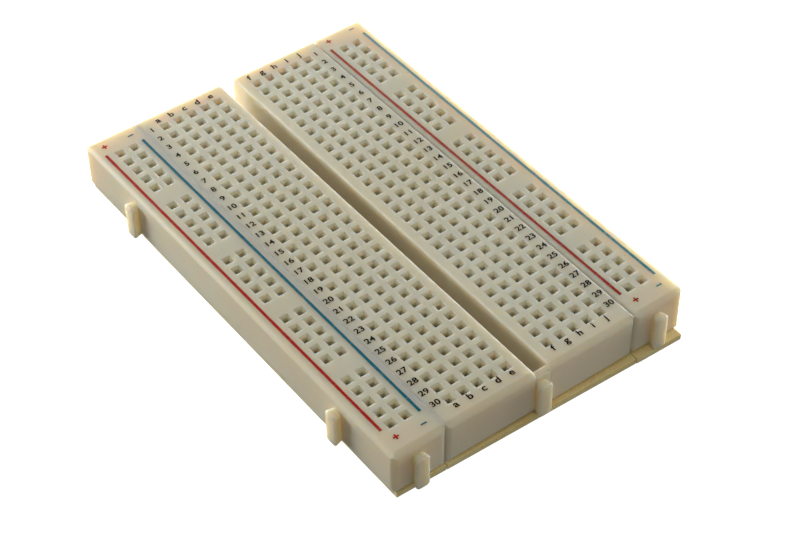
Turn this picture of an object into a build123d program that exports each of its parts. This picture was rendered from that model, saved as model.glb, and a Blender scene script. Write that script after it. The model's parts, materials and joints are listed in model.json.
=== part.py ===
"""Solderless breadboard: a 30-row terminal block with a bus strip clipped to each long side.

Frame: +Z up, origin at the centre of the resting face.  +X runs across the board, from
column a to column j.  +Y runs along it, from row 30 at the front to row 1 at the back.
All sizes are millimetres.
"""

import os

from build123d import *

# ---- the tie-point grid -------------------------------------------------------------
PITCH = 2.54
ROWS = 30
HOLES_PER_ROW = 5
BLOCK_HALF_CENTRE = 3.5 * PITCH          # middle hole of a half row, from the board's centre line
BUS_GROUPS = 5
HOLES_PER_GROUP = 5
BUS_CENTRE = 21.9                        # middle of a bus strip's two columns

# ---- housings -----------------------------------------------------------------------
HOUSING_LENGTH = 81.9
HOUSING_HEIGHT = 8.0
BLOCK_WIDTH = 34.7
STRIP_WIDTH = 9.3
SEAM_GAP = 0.06                          # air between neighbouring housings
TOP_SKIN = 1.4                           # plastic above the contact cells
END_ROUND = 1.0                          # top edge of the two ends
SIDE_ROUND = 0.9                         # top edge of a strip's long sides
SEAM_ROUND = 0.3                         # top edge of the block's long sides and the ravine
CORNER_ROUND = 0.9                       # upright corners

# ---- backing under each housing -----------------------------------------------------
LINER_THICKNESS = 0.15
FOAM_THICKNESS = 0.9
BACKING_END_INSET = 0.4                  # at the back end
FRONT_REACH = {                          # past the front end, at a pad's left and right edge
    "left_bus_strip": (-0.2, 0.0),
    "terminal_block": (0.05, 0.95),
    "right_bus_strip": (1.05, 1.25),
}
BACKING_SIDE_INSET = 0.65                # at the board's two long sides
BACKING_SEAM_INSET = 0.05                # where a pad meets its neighbour
NOTCH_WIDTH = 3.3                        # room for a neighbour's lug in a pad's right edge
NOTCH_DEPTH = 1.75

# ---- ravine between columns e and f -------------------------------------------------
RAVINE_WIDTH = 2.7
RAVINE_DEPTH = 5.4
RAVINE_END_ROUND = 0.7                   # upright corners where the ravine meets the back end
WEB_THICKNESS = 1.3                      # low wall across the front end, which carries a lug
WEB_DROP = 0.8

# ---- tie points ---------------------------------------------------------------------
FUNNEL_WIDTH = 1.6
FUNNEL_DEPTH = 0.5
THROAT_WIDTH = 0.8

# ---- locking lugs and slots ---------------------------------------------------------
LUG_WIDTH = 2.55                         # at the tip
LUG_ROOT_WIDTH = 1.75                    # narrower at the wall, so that a lug locks like a dovetail
LUG_DEPTH = 1.35
LUG_HEIGHT = 6.2
LUG_END_ROUND = 0.6                      # across its top and its foot
LUG_EDGE_ROUND = 0.3
LUG_SPACING = 53.7                       # between the two lugs of a long side
SIDE_LUG_SHIFT = -0.95                   # middle of that pair, towards the front end
END_LUG_SHIFT = -0.4                     # end lug, from the middle of its housing
LUG_CLEARANCE = 0.2

# ---- contact cells and clips --------------------------------------------------------
CELL_WIDTH = 2.0
CELL_END_MARGIN = 1.1                    # cell past the middle of its last hole
CLIP_METAL = 0.2
CLIP_BASE_WIDTH = 1.2
CLIP_SHOULDER_WIDTH = 1.5
CLIP_SHOULDER_HEIGHT = 1.0
CLIP_PINCH_WIDTH = 0.34
CLIP_PINCH_HEIGHT = 4.9
CLIP_MOUTH_WIDTH = 0.95
CLIP_HEIGHT = 6.3
CLIP_END_MARGIN = 0.95                   # clip past the middle of its last hole
SLIT_WIDTH = 0.5
SLIT_FLOOR = 1.3                         # uncut metal at the foot of the fingers

# ---- worked out from the sizes above ------------------------------------------------
FOAM_BOTTOM = LINER_THICKNESS
HOUSING_BOTTOM = FOAM_BOTTOM + FOAM_THICKNESS
TOP = HOUSING_BOTTOM + HOUSING_HEIGHT
CELL_HEIGHT = HOUSING_HEIGHT - TOP_SKIN
FRONT = -HOUSING_LENGTH / 2
BACK = HOUSING_LENGTH / 2
STRIP_CENTRE = BLOCK_WIDTH / 2 + SEAM_GAP + STRIP_WIDTH / 2
ROW_YS = [((ROWS - 1) / 2 - row) * PITCH for row in range(ROWS)]
HALF_ROW_XS = [(hole - (HOLES_PER_ROW - 1) / 2) * PITCH for hole in range(HOLES_PER_ROW)]
BUS_SPAN = (BUS_GROUPS * (HOLES_PER_GROUP + 1) - 2) * PITCH
BUS_YS = [
    (group * (HOLES_PER_GROUP + 1) + hole) * PITCH - BUS_SPAN / 2
    for group in range(BUS_GROUPS)
    for hole in range(HOLES_PER_GROUP)
]
LUG_YS = (SIDE_LUG_SHIFT - LUG_SPACING / 2, SIDE_LUG_SHIFT + LUG_SPACING / 2)
CLIP_OUTLINE = [
    (-CLIP_MOUTH_WIDTH / 2, CLIP_HEIGHT - CLIP_METAL / 2),
    (-CLIP_PINCH_WIDTH / 2, CLIP_PINCH_HEIGHT),
    (-CLIP_SHOULDER_WIDTH / 2, CLIP_SHOULDER_HEIGHT),
    (-CLIP_BASE_WIDTH / 2, CLIP_METAL / 2),
    (CLIP_BASE_WIDTH / 2, CLIP_METAL / 2),
    (CLIP_SHOULDER_WIDTH / 2, CLIP_SHOULDER_HEIGHT),
    (CLIP_PINCH_WIDTH / 2, CLIP_PINCH_HEIGHT),
    (CLIP_MOUTH_WIDTH / 2, CLIP_HEIGHT - CLIP_METAL / 2),
]                                        # a flat base and two springs that nearly meet
STRIPS = {"left": -1, "right": 1}        # which side of the block each bus strip is on
POLES = {"positive": -1, "negative": 1}  # which column of its strip each pole uses

os.makedirs("parts", exist_ok=True)


def save(part, name):
    """Label a finished piece and write it as its own STEP file."""
    part.label = name
    export_step(part, f"parts/{name}.step")


def rounded_bar(centre_x, width, side_round):
    """Solid bar of a housing: three crossing profiles give its rounded ends, sides and corners."""
    with BuildPart() as bar:
        with BuildSketch(Plane.XY.offset(HOUSING_BOTTOM)):
            with Locations((centre_x, 0)):
                RectangleRounded(width, HOUSING_LENGTH, CORNER_ROUND)
        extrude(amount=HOUSING_HEIGHT)
        with BuildSketch(Plane.YZ.offset(centre_x)) as end_profile:
            with Locations((0, (HOUSING_BOTTOM + TOP) / 2)):
                Rectangle(HOUSING_LENGTH, HOUSING_HEIGHT)
            fillet(end_profile.vertices().group_by(Axis.Z)[-1], END_ROUND)
        extrude(amount=width, both=True, mode=Mode.INTERSECT)
        with BuildSketch(Plane.XZ) as side_profile:
            with Locations((centre_x, (HOUSING_BOTTOM + TOP) / 2)):
                Rectangle(width, HOUSING_HEIGHT)
            fillet(side_profile.vertices().group_by(Axis.Z)[-1], side_round)
        extrude(amount=HOUSING_LENGTH, both=True, mode=Mode.INTERSECT)
    return bar.part


def cut_tie_points(places):
    """Cut square funnels with straight throats down to the contact cells."""
    taper = atan_degrees((FUNNEL_WIDTH - THROAT_WIDTH) / 2, FUNNEL_DEPTH)
    with BuildSketch(Plane.XY.offset(TOP)) as mouths:
        with Locations(*places):
            Rectangle(FUNNEL_WIDTH, FUNNEL_WIDTH)
    extrude(mouths.sketch, amount=-FUNNEL_DEPTH, taper=taper, mode=Mode.SUBTRACT)
    with BuildSketch(Plane.XY.offset(TOP)) as throats:
        with Locations(*places):
            Rectangle(THROAT_WIDTH, THROAT_WIDTH)
    extrude(throats.sketch, amount=-TOP_SKIN, mode=Mode.SUBTRACT)


def atan_degrees(rise, run):
    """Angle whose tangent is rise over run."""
    return Vector(run, rise, 0).get_angle(Vector(1, 0, 0))


def cut_cells(places, size_x, size_y):
    """Cut contact cells, open at the housing's underside."""
    with BuildSketch(Plane.XY.offset(HOUSING_BOTTOM)) as mouths:
        with Locations(*places):
            Rectangle(size_x, size_y)
    extrude(mouths.sketch, amount=CELL_HEIGHT, mode=Mode.SUBTRACT)


def dovetail_plan(x, y, facing, depth, margin=0.0):
    """Plan of a dovetail at the foot of the wall at (x, y): narrow at the wall, wide at its tip."""
    foot = Plane(origin=(x, y, HOUSING_BOTTOM), x_dir=facing, z_dir=(0, 0, 1))
    root = LUG_ROOT_WIDTH / 2 + margin
    tip = LUG_WIDTH / 2 + margin
    with BuildSketch(foot) as plan:
        Polygon((0, -root), (depth, -tip), (depth, tip), (0, root), align=None)
    return plan.sketch


def make_lug(x, y, facing):
    """Upright dovetail lug with rounded ends, standing out of the wall at (x, y)."""
    outward = Axis((x, y, 0), facing)
    with BuildPart() as lug:
        extrude(dovetail_plan(x, y, facing, LUG_DEPTH), amount=LUG_HEIGHT)
        end_faces = (lug.faces().sort_by(Axis.Z)[0], lug.faces().sort_by(Axis.Z)[-1])
        flank_edges = [edge for face in end_faces for edge in face.edges().sort_by(outward)[1:-1]]
        fillet(flank_edges, LUG_END_ROUND)
        tip_face = lug.faces().sort_by(outward)[-1]
        fillet(tip_face.edges(), LUG_EDGE_ROUND)
    return lug.part


def make_slot_cutter(x, y, facing):
    """Space that takes a lug into the wall at (x, y), open below; facing points into the wall."""
    plan = dovetail_plan(x, y, facing, LUG_DEPTH + LUG_CLEARANCE, LUG_CLEARANCE)
    with BuildPart() as cutter:
        extrude(plan, amount=LUG_HEIGHT + LUG_CLEARANCE)
    return cutter.part


def housing_lugs(centre_x, width):
    """The three lugs of one housing: two on its left side and one on its front end."""
    left_x = centre_x - width / 2
    side_lugs = [make_lug(left_x, y, (-1, 0, 0)) for y in LUG_YS]
    return side_lugs + [make_lug(centre_x + END_LUG_SHIFT, FRONT, (0, -1, 0))]


def housing_slot_cutters(centre_x, width):
    """The three slots of one housing: two in its right side and one in its back end."""
    right_x = centre_x + width / 2
    side_cutters = [make_slot_cutter(right_x, y, (-1, 0, 0)) for y in LUG_YS]
    return side_cutters + [make_slot_cutter(centre_x + END_LUG_SHIFT, BACK, (0, -1, 0))]


# ---- terminal block -----------------------------------------------------------------
block_bar = rounded_bar(0, BLOCK_WIDTH, SEAM_ROUND)
block_lugs = housing_lugs(0, BLOCK_WIDTH)
block_slots = housing_slot_cutters(0, BLOCK_WIDTH)
half_rows = [(half * BLOCK_HALF_CENTRE, y) for half in (-1, 1) for y in ROW_YS]
with BuildPart() as terminal_block:
    add(block_bar)
    with BuildSketch(Plane.XZ):
        with Locations((0, TOP)):
            Rectangle(RAVINE_WIDTH, 2 * RAVINE_DEPTH)
    extrude(amount=HOUSING_LENGTH, both=True, mode=Mode.SUBTRACT)
    ravine_lips = (
        terminal_block.edges()
        .filter_by(Axis.Y)
        .filter_by_position(Axis.X, -RAVINE_WIDTH, RAVINE_WIDTH)
        .filter_by_position(Axis.Z, TOP - SEAM_ROUND, TOP + SEAM_ROUND)
    )
    fillet(ravine_lips, SEAM_ROUND)
    with BuildSketch(Plane.XY.offset(TOP - RAVINE_DEPTH)) as end_corners:
        for side in (-1, 1):
            with Locations((side * (RAVINE_WIDTH + RAVINE_END_ROUND) / 2, BACK - RAVINE_END_ROUND / 2)):
                Rectangle(RAVINE_END_ROUND, RAVINE_END_ROUND)
        for side in (-1, 1):
            with Locations((side * (RAVINE_WIDTH / 2 + RAVINE_END_ROUND), BACK - RAVINE_END_ROUND)):
                Circle(RAVINE_END_ROUND, mode=Mode.SUBTRACT)
    extrude(amount=RAVINE_DEPTH, mode=Mode.SUBTRACT)
    with BuildSketch(Plane.XY.offset(HOUSING_BOTTOM)):
        with Locations((0, FRONT + WEB_THICKNESS / 2)):
            Rectangle(RAVINE_WIDTH, WEB_THICKNESS)
    extrude(amount=HOUSING_HEIGHT - WEB_DROP)
    cut_cells(half_rows, (HOLES_PER_ROW - 1) * PITCH + 2 * CELL_END_MARGIN, CELL_WIDTH)
    cut_tie_points([(centre_x + hole_x, y) for centre_x, y in half_rows for hole_x in HALF_ROW_XS])
    add(block_lugs)
    add(block_slots, mode=Mode.SUBTRACT)
save(terminal_block.part, "terminal_block")

# ---- contact clips of the terminal block: a node per row, a clip in each half row ----
for number, row_y in enumerate(ROW_YS, start=1):
    with BuildPart() as row_clips:
        for half_x in (-BLOCK_HALF_CENTRE, BLOCK_HALF_CENTRE):
            foot = (half_x, row_y, HOUSING_BOTTOM)
            with BuildSketch(Plane(origin=foot, x_dir=(0, 1, 0), z_dir=(1, 0, 0))):
                with BuildLine():
                    Polyline(*CLIP_OUTLINE)
                trace(line_width=CLIP_METAL)
            extrude(amount=(HOLES_PER_ROW - 1) / 2 * PITCH + CLIP_END_MARGIN, both=True)
            with BuildSketch(Plane(origin=foot, x_dir=(1, 0, 0), z_dir=(0, -1, 0))):
                for near_x, far_x in zip(HALF_ROW_XS, HALF_ROW_XS[1:]):
                    with Locations(((near_x + far_x) / 2, SLIT_FLOOR + CLIP_HEIGHT / 2)):
                        Rectangle(SLIT_WIDTH, CLIP_HEIGHT)
            extrude(amount=CELL_WIDTH / 2, both=True, mode=Mode.SUBTRACT)
    save(row_clips.part, f"row_{number:02d}_contact_clips")

# ---- bus strips ---------------------------------------------------------------------
for side_name, side in STRIPS.items():
    strip_x = side * STRIP_CENTRE
    column_xs = {pole: side * BUS_CENTRE + column * PITCH / 2 for pole, column in POLES.items()}
    strip_bar = rounded_bar(strip_x, STRIP_WIDTH, SIDE_ROUND)
    strip_lugs = housing_lugs(strip_x, STRIP_WIDTH)
    strip_slots = housing_slot_cutters(strip_x, STRIP_WIDTH)
    with BuildPart() as bus_strip:
        add(strip_bar)
        cut_cells([(x, 0) for x in column_xs.values()], CELL_WIDTH, BUS_SPAN + 2 * CELL_END_MARGIN)
        cut_tie_points([(x, y) for x in column_xs.values() for y in BUS_YS])
        add(strip_lugs)
        add(strip_slots, mode=Mode.SUBTRACT)
    save(bus_strip.part, f"{side_name}_bus_strip")

    for pole, column_x in column_xs.items():
        foot = (column_x, 0, HOUSING_BOTTOM)
        with BuildPart() as bus_clip:
            with BuildSketch(Plane(origin=foot, x_dir=(1, 0, 0), z_dir=(0, -1, 0))):
                with BuildLine():
                    Polyline(*CLIP_OUTLINE)
                trace(line_width=CLIP_METAL)
            extrude(amount=BUS_SPAN / 2 + CLIP_END_MARGIN, both=True)
            with BuildSketch(Plane(origin=foot, x_dir=(0, 1, 0), z_dir=(1, 0, 0))):
                for near_y, far_y in zip(BUS_YS, BUS_YS[1:]):
                    with Locations(((near_y + far_y) / 2, SLIT_FLOOR + CLIP_HEIGHT / 2)):
                        Rectangle(far_y - near_y - PITCH + SLIT_WIDTH, CLIP_HEIGHT)
            extrude(amount=CELL_WIDTH / 2, both=True, mode=Mode.SUBTRACT)
        save(bus_clip.part, f"{side_name}_{pole}_bus_clip")

# ---- foam pad and release liner under each housing ----------------------------------
def pad_outline(left_x, right_x, left_reach, right_reach):
    """Outline of a pad: front edge cut by hand, right edge notched where a neighbour's lugs pass."""
    back_y = BACK - BACKING_END_INSET
    front_left = (left_x, FRONT - left_reach)
    front_right = (right_x, FRONT - right_reach)
    with BuildSketch() as outline:
        Polygon(front_left, front_right, (right_x, back_y), (left_x, back_y), align=None)
        with Locations(*[(right_x, lug_y) for lug_y in LUG_YS]):
            Rectangle(2 * NOTCH_DEPTH, NOTCH_WIDTH, mode=Mode.SUBTRACT)
    return outline.sketch


BOARD_HALF_WIDTH = STRIP_CENTRE + STRIP_WIDTH / 2
BLOCK_HALF_WIDTH = BLOCK_WIDTH / 2
STRIP_INNER_X = BLOCK_HALF_WIDTH + SEAM_GAP
PAD_EDGES = {
    "terminal_block": (-BLOCK_HALF_WIDTH + BACKING_SEAM_INSET, BLOCK_HALF_WIDTH - BACKING_SEAM_INSET),
    "left_bus_strip": (-BOARD_HALF_WIDTH + BACKING_SIDE_INSET, -STRIP_INNER_X - BACKING_SEAM_INSET),
    "right_bus_strip": (STRIP_INNER_X + BACKING_SEAM_INSET, BOARD_HALF_WIDTH - BACKING_SIDE_INSET),
}
for housing_name, (left_x, right_x) in PAD_EDGES.items():
    outline = pad_outline(left_x, right_x, *FRONT_REACH[housing_name])
    with BuildPart() as foam_pad:
        with BuildSketch(Plane.XY.offset(FOAM_BOTTOM)):
            add(outline)
        extrude(amount=FOAM_THICKNESS)
    save(foam_pad.part, f"{housing_name}_foam_pad")
    with BuildPart() as release_liner:
        with BuildSketch(Plane.XY):
            add(outline)
        extrude(amount=LINER_THICKNESS)
    save(release_liner.part, f"{housing_name}_release_liner")
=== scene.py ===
"""Looks of the solderless breadboard: moulded ivory plastic, printed ink, foam, paper and metal.

Everything is in metres in the CAD frame: +X across the board, +Y from row 30 to row 1, +Z up.
"""

import json
import math

import bmesh
import bpy
from mathutils import Matrix, Quaternion, Vector


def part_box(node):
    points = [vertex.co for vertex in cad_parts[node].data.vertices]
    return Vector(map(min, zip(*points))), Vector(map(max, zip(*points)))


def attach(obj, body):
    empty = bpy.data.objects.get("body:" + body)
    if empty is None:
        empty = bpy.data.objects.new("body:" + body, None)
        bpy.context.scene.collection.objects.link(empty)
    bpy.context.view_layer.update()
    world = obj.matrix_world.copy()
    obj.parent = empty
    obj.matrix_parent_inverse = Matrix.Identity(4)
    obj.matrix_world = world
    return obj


MM = 0.001

# ---- the board's printed grid -------------------------------------------------------
PITCH = 2.54 * MM
ROWS = 30
BLOCK_COLUMNS = "abcdefghij"
HALF_GAP = 1.5 * PITCH                   # column e or f to the centre line

# The ink is a screen print, so it sits a little off the moulding and leans a little.
NUMBER_X = {"left": (-16.0 * MM, -16.25 * MM), "right": (16.14 * MM, 15.85 * MM)}
NUMBER_SHIFT = 0.5 * MM                  # printed numbers from the middle of their rows
NUMBER_SIZE = 1.42 * MM
LETTER_SIZE = 1.62 * MM
LETTER_PITCH = 2.5 * MM
LETTER_GAP = 3.85 * MM                   # middle of e or f from the middle of the letters
LETTER_LINES = {"front": (0.0, -38.8 * MM), "back": (-0.42 * MM, 38.3 * MM)}
WORD_STRETCH = 1.12
BOLDNESS = 0.024                         # widening of each stroke, for letters of size 1

# Front and back ends of each stripe: x from the middle of its strip, and y.
STRIPE_ENDS = {
    ("left", "positive"): ((-3.0 * MM, -35.9 * MM), (-3.29 * MM, 36.5 * MM)),
    ("left", "negative"): ((3.5 * MM, -36.3 * MM), (3.37 * MM, 36.3 * MM)),
    ("right", "positive"): ((-3.37 * MM, -36.1 * MM), (-3.57 * MM, 36.7 * MM)),
    ("right", "negative"): ((3.46 * MM, -35.9 * MM), (3.49 * MM, 37.1 * MM)),
}
STRIPE_WIDTH = 0.46 * MM
# Front and back mark of each stripe, the same way.
MARK_PLACES = {
    ("left", "positive"): ((-2.0 * MM, -38.0 * MM), (-2.38 * MM, 38.4 * MM)),
    ("left", "negative"): ((2.5 * MM, -38.4 * MM), (2.37 * MM, 38.3 * MM)),
    ("right", "positive"): ((-2.33 * MM, -38.2 * MM), (-2.57 * MM, 38.7 * MM)),
    ("right", "negative"): ((2.43 * MM, -38.0 * MM), (2.43 * MM, 39.1 * MM)),
}
MARK_SIZE = 1.0 * MM
MARK_STROKE = 0.27 * MM
INK_THICKNESS = 0.016 * MM
INK_SINK = 0.004 * MM                    # how far ink reaches into the plastic

# ---- colours, linear ----------------------------------------------------------------
PLASTIC = (0.82, 0.71, 0.51)
YELLOWED_PLASTIC = (0.86, 0.755, 0.565)
SPECK = (0.72, 0.57, 0.37)
# Each ink at the front end and at the back end. The right strip's inks are the paler ones.
BLACK = ((0.006, 0.005, 0.004), (0.028, 0.025, 0.020))
LEFT_RED = ((0.50, 0.004, 0.005), (0.53, 0.024, 0.022))
LEFT_BLUE = ((0.004, 0.155, 0.215), (0.030, 0.19, 0.27))
RIGHT_RED = ((0.37, 0.024, 0.018), (0.49, 0.090, 0.060))
RIGHT_BLUE = ((0.065, 0.27, 0.35), (0.22, 0.42, 0.48))
PRINT_REACH = 0.04                       # those two ends, in front of and behind the middle
LIGHT_DEPTH = 4.0 * MM                   # how far light wanders inside the plastic

# ---- lights and table ---------------------------------------------------------------
# Name, place and target in metres, width and height in metres, power in watts.
SOFTBOXES = (
    ("backlight", (-0.05, 0.60, 0.065), (0, 0, 0), (0.9, 0.11), 8.6),
    ("right_light", (0.52, 0.03, 0.055), (0, 0, 0), (0.5, 0.09), 3.6),
    ("left_light", (-0.13, 0.22, 0.05), (-0.02, 0.03, 0), (0.06, 0.05), 0.15),
    ("overhead", (-0.12, -0.14, 0.72), (0, 0, 0), (0.6, 0.6), 0.88),
)
SKY_LEVEL = 0.175
SKY_LEAN = (0.06, -0.08, -0.01)
SKY_COLOUR = (1.0, 0.985, 0.96, 1.0)
FLOOR_RADIUS = 3.0
FLOOR_DROP = 0.1 * MM                    # air under the board's liners

# ---- camera -------------------------------------------------------------------------
CAMERA_PLACE = Vector((-132.34, -184.72, 211.40)) * MM    # z is above the board's top
CAMERA_TARGET = Vector((-3.507, -11.702, 0.0)) * MM       # on the board's top
CAMERA_ROLL = math.radians(-0.516)
CAMERA_LENS = 91.22
SENSOR_WIDTH = 36.0


# ---- node helpers -------------------------------------------------------------------
class Nodes:
    """A material's node tree, with short calls for the nodes that these materials share."""

    def __init__(self, name):
        self.material = bpy.data.materials.new(name)
        self.material.use_nodes = True
        self.tree = self.material.node_tree
        self.shader = self.tree.nodes["Principled BSDF"]
        self.place = self.add("ShaderNodeTexCoord").outputs["Object"]

    def add(self, kind, **settings):
        node = self.tree.nodes.new(kind)
        for key, value in settings.items():
            setattr(node, key, value)
        return node

    def link(self, output, socket):
        self.tree.links.new(output, socket)

    def stretched(self, scale):
        """Object coordinates scaled along each axis."""
        mapping = self.add("ShaderNodeMapping")
        mapping.inputs["Scale"].default_value = scale
        self.link(self.place, mapping.inputs["Vector"])
        return mapping.outputs["Vector"]

    def noise(self, scale, detail=2.0, roughness=0.5, vector=None):
        node = self.add("ShaderNodeTexNoise")
        node.inputs["Scale"].default_value = scale
        node.inputs["Detail"].default_value = detail
        node.inputs["Roughness"].default_value = roughness
        self.link(vector or self.place, node.inputs["Vector"])
        return node.outputs["Fac"]

    def cells(self, scale, vector=None):
        node = self.add("ShaderNodeTexVoronoi")
        node.inputs["Scale"].default_value = scale
        self.link(vector or self.place, node.inputs["Vector"])
        return node.outputs["Distance"]

    def spread(self, value, low, high, to_low=0.0, to_high=1.0):
        """Stretch a value's range, clamped at both ends."""
        node = self.add("ShaderNodeMapRange")
        node.inputs["From Min"].default_value = low
        node.inputs["From Max"].default_value = high
        node.inputs["To Min"].default_value = to_low
        node.inputs["To Max"].default_value = to_high
        self.link(value, node.inputs["Value"])
        return node.outputs["Result"]

    def blend(self, amount, first, second):
        """Mix two colours; each is a colour or another node's output."""
        node = self.add("ShaderNodeMix", data_type="RGBA")
        self.link(amount, node.inputs["Factor"])
        for socket, colour in (("A", first), ("B", second)):
            target = next(s for s in node.inputs if s.name == socket and s.type == "RGBA")
            if isinstance(colour, tuple):
                target.default_value = (*colour, 1.0)
            else:
                self.link(colour, target)
        return next(s for s in node.outputs if s.type == "RGBA")

    def bump(self, height, strength, distance, normal=None):
        node = self.add("ShaderNodeBump")
        node.inputs["Strength"].default_value = strength
        node.inputs["Distance"].default_value = distance
        self.link(height, node.inputs["Height"])
        if normal:
            self.link(normal, node.inputs["Normal"])
        return node.outputs["Normal"]

    def surface(self, colour=None, roughness=None, normal=None, **constants):
        sockets = {"Base Color": colour, "Roughness": roughness, "Normal": normal}
        for socket, output in sockets.items():
            if output:
                self.link(output, self.shader.inputs[socket])
        for socket, value in constants.items():
            self.shader.inputs[socket.replace("_", " ")].default_value = value
        return self.material


# ---- materials ----------------------------------------------------------------------
def ivory_plastic():
    """Ivory ABS: faint yellowing in patches, a fine spark-eroded texture, light let in a little."""
    n = Nodes("ivory_plastic")
    patches = n.spread(n.noise(35, 3), 0.35, 0.65)
    colour = n.blend(patches, PLASTIC, YELLOWED_PLASTIC)
    specks = n.spread(n.noise(2600, 1), 0.72, 0.80)
    colour = n.blend(specks, colour, SPECK)
    roughness = n.spread(n.noise(900, 3), 0.3, 0.7, 0.42, 0.55)
    grain = n.bump(n.noise(5200, 2), 0.14, 0.012 * MM)
    waves = n.bump(n.noise(140, 2), 0.25, 0.05 * MM, grain)
    return n.surface(
        colour, roughness, waves,
        Subsurface_Weight=1.0,
        Subsurface_Radius=(1.0, 0.78, 0.5),
        Subsurface_Scale=LIGHT_DEPTH,
        IOR=1.5,
    )


def ink(name, front, back):
    """Screen-printed ink, paler towards the back end, patchy where the plastic shows through."""
    n = Nodes(name)
    parts = n.add("ShaderNodeSeparateXYZ")
    n.link(n.place, parts.inputs["Vector"])
    along = n.spread(parts.outputs["Y"], -PRINT_REACH, PRINT_REACH)
    colour = n.blend(along, front, back)
    worn = tuple(0.93 * c + 0.07 * p for c, p in zip(back, PLASTIC))
    thin = n.spread(n.noise(1500, 4, 0.6), 0.52, 0.72)
    colour = n.blend(thin, colour, worn)
    roughness = n.spread(n.noise(2500, 2), 0.3, 0.7, 0.45, 0.62)
    normal = n.bump(n.noise(6000, 2), 0.15, 0.008 * MM)
    return n.surface(colour, roughness, normal, IOR=1.48, Specular_IOR_Level=0.1)


def nickel():
    """Nickel-plated spring strip with rolling lines along it and slightly duller patches."""
    n = Nodes("nickel_plate")
    lines = n.noise(500, 3, 0.6, n.stretched((1.0, 8.0, 14.0)))
    tarnish = n.spread(n.noise(400, 3), 0.45, 0.75)
    colour = n.blend(tarnish, (0.72, 0.70, 0.66), (0.56, 0.51, 0.42))
    roughness = n.spread(lines, 0.3, 0.7, 0.22, 0.40)
    normal = n.bump(lines, 0.12, 0.006 * MM)
    return n.surface(colour, roughness, normal, Metallic=1.0)


def amber_foam():
    """Closed-cell foam tape, yellowed to amber, with open bubbles along its cut edge, their hollows
    darkened with painted shade.
    """
    n = Nodes("amber_foam")
    bubbles = n.cells(4200)
    tint = n.spread(n.noise(300, 3), 0.3, 0.7)
    colour = n.blend(tint, (0.86, 0.68, 0.30), (0.95, 0.80, 0.40))
    # Painted shade: the middle of each bubble is darkened, standing in for the shade inside the
    # pit.
    painted_pit_shade = n.spread(bubbles, 0.0, 0.45)
    colour = n.blend(painted_pit_shade, (0.66, 0.48, 0.18), colour)
    roughness = n.spread(n.noise(800, 2), 0.3, 0.7, 0.78, 0.95)
    normal = n.bump(bubbles, 0.5, 0.05 * MM)
    return n.surface(
        colour, roughness, normal,
        Subsurface_Weight=0.6,
        Subsurface_Radius=(1.0, 0.7, 0.3),
        Subsurface_Scale=0.5 * MM,
    )


def waxed_paper():
    """Release paper with paper fibres under a thin wax."""
    n = Nodes("waxed_paper")
    fibres = n.noise(700, 4, 0.65, n.stretched((1.0, 5.0, 1.0)))
    cloud = n.spread(n.noise(90, 3), 0.35, 0.65)
    colour = n.blend(cloud, (0.90, 0.78, 0.44), (0.93, 0.84, 0.52))
    colour = n.blend(n.spread(fibres, 0.55, 0.75), colour, (0.62, 0.50, 0.26))
    roughness = n.spread(fibres, 0.3, 0.7, 0.38, 0.6)
    normal = n.bump(fibres, 0.3, 0.02 * MM)
    return n.surface(colour, roughness, normal, IOR=1.45)


def pale_floor():
    """White table top, lit a little from below like a photographer's light table."""
    n = Nodes("pale_floor")
    tone = n.spread(n.noise(6, 2), 0.3, 0.7)
    colour = n.blend(tone, (0.72, 0.72, 0.72), (0.75, 0.75, 0.75))
    roughness = n.spread(n.noise(40, 2), 0.3, 0.7, 0.75, 0.85)
    return n.surface(
        colour, roughness,
        Emission_Color=(1.0, 1.0, 1.0, 1.0),
        Emission_Strength=1.0,
        Specular_IOR_Level=0.2,
    )


# ---- printed ink --------------------------------------------------------------------
def ink_object(name, mesh, body, slot_material):
    """Link an ink mesh, give it its material and let it ride on a housing."""
    mesh.materials.clear()
    mesh.materials.append(slot_material)
    piece = bpy.data.objects.new(name, mesh)
    bpy.context.scene.collection.objects.link(piece)
    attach(piece, body)
    return piece


def solid_outline(bm, points, base_z):
    """Closed flat solid of ink over an outline."""
    bottom = [bm.verts.new((x, y, base_z)) for x, y in points]
    top = [bm.verts.new((x, y, base_z + INK_THICKNESS)) for x, y in points]
    bm.faces.new(list(reversed(bottom)))
    bm.faces.new(top)
    for i, corner in enumerate(bottom):
        j = (i + 1) % len(points)
        bm.faces.new((corner, bottom[j], top[j], top[i]))


def stripe_points(front, back):
    """Outline of a stripe from end to end, whose long edges waver by hundredths of a millimetre."""
    steps = 72
    half = STRIPE_WIDTH / 2
    left, right = [], []
    for i in range(steps + 1):
        x, y = (a + (b - a) * i / steps for a, b in zip(front, back))
        w = half * (1 + 0.05 * math.sin(i * 1.7 + x * 900) + 0.04 * math.sin(i * 0.63))
        right.append((x + w, y))
        left.append((x - w, y))
    return right + left[::-1]


def bar_points(x, y, length, width):
    return [
        (x - length / 2, y - width / 2), (x + length / 2, y - width / 2),
        (x + length / 2, y + width / 2), (x - length / 2, y + width / 2),
    ]


def plus_points(x, y, size, stroke):
    """Twelve-cornered outline of a plus."""
    a, b = size / 2, stroke / 2
    quarter = [(b, b), (b, a), (-b, a)]
    points = []
    for turn in range(4):
        c, s = round(math.cos(turn * math.pi / 2)), round(math.sin(turn * math.pi / 2))
        points += [(x + c * px - s * py, y + s * px + c * py) for px, py in quarter]
    return points


def outline_mesh(name, outlines, base_z):
    bm = bmesh.new()
    for points in outlines:
        solid_outline(bm, points, base_z)
    bmesh.ops.recalc_face_normals(bm, faces=bm.faces)
    mesh = bpy.data.meshes.new(name)
    bm.to_mesh(mesh)
    bm.free()
    return mesh


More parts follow.
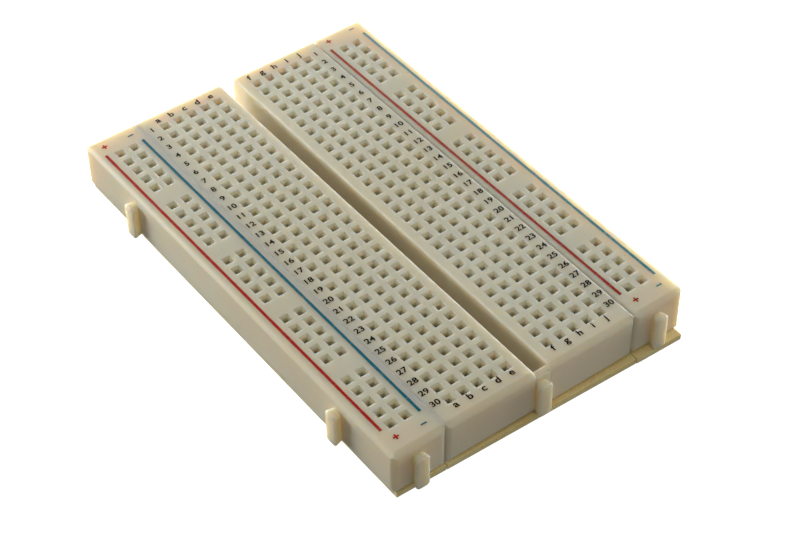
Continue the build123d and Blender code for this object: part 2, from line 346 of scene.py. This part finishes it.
def text_mesh(name, words, size, base_z):
    """One mesh of many short bold words, each centred on its own place along x."""
    bm = bmesh.new()
    for word, x, y in words:
        curve = bpy.data.curves.new("word", "FONT")
        curve.body = word
        curve.align_x = "CENTER"
        curve.align_y = "BOTTOM_BASELINE"
        curve.space_character = 1.05
        curve.resolution_u = 8
        curve.offset = BOLDNESS
        curve.extrude = INK_THICKNESS / size / 2
        holder = bpy.data.objects.new("word", curve)
        bpy.context.scene.collection.objects.link(holder)
        bpy.context.view_layer.update()
        letter = bpy.data.meshes.new_from_object(holder)
        letter.transform(Matrix.Diagonal((size * WORD_STRETCH, size, size, 1.0)))
        letter.transform(Matrix.Translation((x, y, base_z + INK_THICKNESS / 2)))
        bm.from_mesh(letter)
        bpy.data.objects.remove(holder)
        bpy.data.curves.remove(curve)
        bpy.data.meshes.remove(letter)
    bmesh.ops.remove_doubles(bm, verts=bm.verts, dist=0.0005 * MM)
    mesh = bpy.data.meshes.new(name)
    bm.to_mesh(mesh)
    bm.free()
    return mesh


def print_block(base_z, black):
    """Row numbers down both outer edges and column letters at both ends."""
    digit_height = 0.7 * NUMBER_SIZE
    for side, (front_x, back_x) in NUMBER_X.items():
        words = []
        for row in range(ROWS):
            x = back_x + (front_x - back_x) * row / (ROWS - 1)
            y = ((ROWS - 1) / 2 - row) * PITCH + NUMBER_SHIFT - digit_height / 2
            words.append((str(row + 1), x, y))
        name = f"{side}_row_numbers"
        ink_object(name, text_mesh(name, words, NUMBER_SIZE, base_z), "block", black)
    half = len(BLOCK_COLUMNS) // 2
    for end, (middle_x, baseline_y) in LETTER_LINES.items():
        words = []
        for i, letter in enumerate(BLOCK_COLUMNS):
            side = -1 if i < half else 1
            steps = half - 1 - i if i < half else i - half
            x = middle_x + side * (LETTER_GAP + steps * LETTER_PITCH)
            words.append((letter, x, baseline_y))
        name = f"{end}_column_letters"
        ink_object(name, text_mesh(name, words, LETTER_SIZE, base_z), "block", black)


def print_strip(side, base_z, inks):
    """A red and a blue stripe with their + and - marks."""
    middle_x = -strip_centre if side == "left" else strip_centre
    for sign, material in inks.items():
        front, back = ((middle_x + x, y) for x, y in STRIPE_ENDS[side, sign])
        name = f"{side}_{sign}_stripe"
        mesh = outline_mesh(name, [stripe_points(front, back)], base_z)
        ink_object(name, mesh, f"{side}_strip", material)
        outlines = []
        for x, y in MARK_PLACES[side, sign]:
            if sign == "positive":
                outlines.append(plus_points(middle_x + x, y, MARK_SIZE, MARK_STROKE))
            else:
                outlines.append(bar_points(middle_x + x, y, MARK_SIZE, MARK_STROKE))
        name = f"{side}_{sign}_marks"
        ink_object(name, outline_mesh(name, outlines, base_z), f"{side}_strip", material)


# ---- stage --------------------------------------------------------------------------
def add_floor(material):
    """Round pale table top that the board lies on."""
    bm = bmesh.new()
    bmesh.ops.create_circle(bm, cap_ends=True, segments=96, radius=FLOOR_RADIUS)
    mesh = bpy.data.meshes.new("floor")
    bm.to_mesh(mesh)
    bm.free()
    mesh.materials.append(material)
    floor = bpy.data.objects.new("floor", mesh)
    floor.location.z = -FLOOR_DROP
    floor.visible_diffuse = False
    floor.visible_glossy = False
    bpy.context.scene.collection.objects.link(floor)


def add_softbox(name, place, target, size, power):
    data = bpy.data.lights.new(name, "AREA")
    data.shape = "RECTANGLE"
    data.size, data.size_y = size
    data.energy = power
    lamp = bpy.data.objects.new(name, data)
    lamp.location = place
    lamp.rotation_mode = "QUATERNION"
    lamp.rotation_quaternion = (Vector(target) - Vector(place)).to_track_quat("-Z", "Y")
    bpy.context.scene.collection.objects.link(lamp)


def add_world():
    """Soft light from all around, stronger on the sides that SKY_LEAN points to."""
    world = bpy.data.worlds.new("studio")
    world.use_nodes = True
    tree = world.node_tree
    place = tree.nodes.new("ShaderNodeTexCoord")
    along = tree.nodes.new("ShaderNodeVectorMath")
    along.operation = "DOT_PRODUCT"
    along.inputs[1].default_value = SKY_LEAN
    tree.links.new(place.outputs["Generated"], along.inputs[0])
    total = tree.nodes.new("ShaderNodeMath")
    total.operation = "ADD"
    total.inputs[1].default_value = SKY_LEVEL
    tree.links.new(along.outputs["Value"], total.inputs[0])
    background = tree.nodes["Background"]
    background.inputs["Color"].default_value = SKY_COLOUR
    tree.links.new(total.outputs["Value"], background.inputs["Strength"])
    bpy.context.scene.world = world


def add_camera(top_z):
    data = bpy.data.cameras.new("camera")
    data.sensor_width = SENSOR_WIDTH
    data.lens = CAMERA_LENS
    data.clip_start = 0.01
    data.clip_end = 20.0
    camera = bpy.data.objects.new("camera", data)
    rise = Vector((0, 0, top_z))
    camera.location = CAMERA_PLACE + rise
    camera.rotation_mode = "QUATERNION"
    look = (CAMERA_TARGET - CAMERA_PLACE).to_track_quat("-Z", "Y")
    camera.rotation_quaternion = look @ Quaternion((0, 0, 1), CAMERA_ROLL)
    bpy.context.scene.collection.objects.link(camera)
    bpy.context.scene.camera = camera


# ---- build --------------------------------------------------------------------------
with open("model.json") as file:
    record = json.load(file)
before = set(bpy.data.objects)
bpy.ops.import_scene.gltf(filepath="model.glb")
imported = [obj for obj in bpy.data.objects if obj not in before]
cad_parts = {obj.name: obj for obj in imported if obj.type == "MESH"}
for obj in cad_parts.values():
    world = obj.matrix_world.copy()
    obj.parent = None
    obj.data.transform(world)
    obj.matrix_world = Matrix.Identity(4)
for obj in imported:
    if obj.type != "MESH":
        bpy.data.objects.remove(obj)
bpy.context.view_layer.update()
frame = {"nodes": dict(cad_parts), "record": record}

finishes = {
    "housing_plastic": ivory_plastic(),
    "contact_metal": nickel(),
    "foam": amber_foam(),
    "release_liner": waxed_paper(),
}
for entry in frame["record"]["subparts"]:
    slots = frame["nodes"][entry["node"]].data.materials
    slots.clear()
    slots.append(finishes[entry["material_slot"]])

black_ink = ink("black_ink", *BLACK)
stripe_inks = {
    "left": {
        "positive": ink("left_red_ink", *LEFT_RED),
        "negative": ink("left_blue_ink", *LEFT_BLUE),
    },
    "right": {
        "positive": ink("right_red_ink", *RIGHT_RED),
        "negative": ink("right_blue_ink", *RIGHT_BLUE),
    },
}

board_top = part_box("left_bus_strip")[1].z
# Both strips are one moulding, so their right walls are as far apart as their middles are.
strip_centre = (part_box("right_bus_strip")[1].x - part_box("left_bus_strip")[1].x) / 2
print_block(board_top - INK_SINK, black_ink)
for side, inks in stripe_inks.items():
    print_strip(side, board_top - INK_SINK, inks)

add_floor(pale_floor())
for softbox in SOFTBOXES:
    add_softbox(*softbox)
add_world()
add_camera(board_top)

scene = bpy.context.scene
scene.view_settings.view_transform = "Standard"
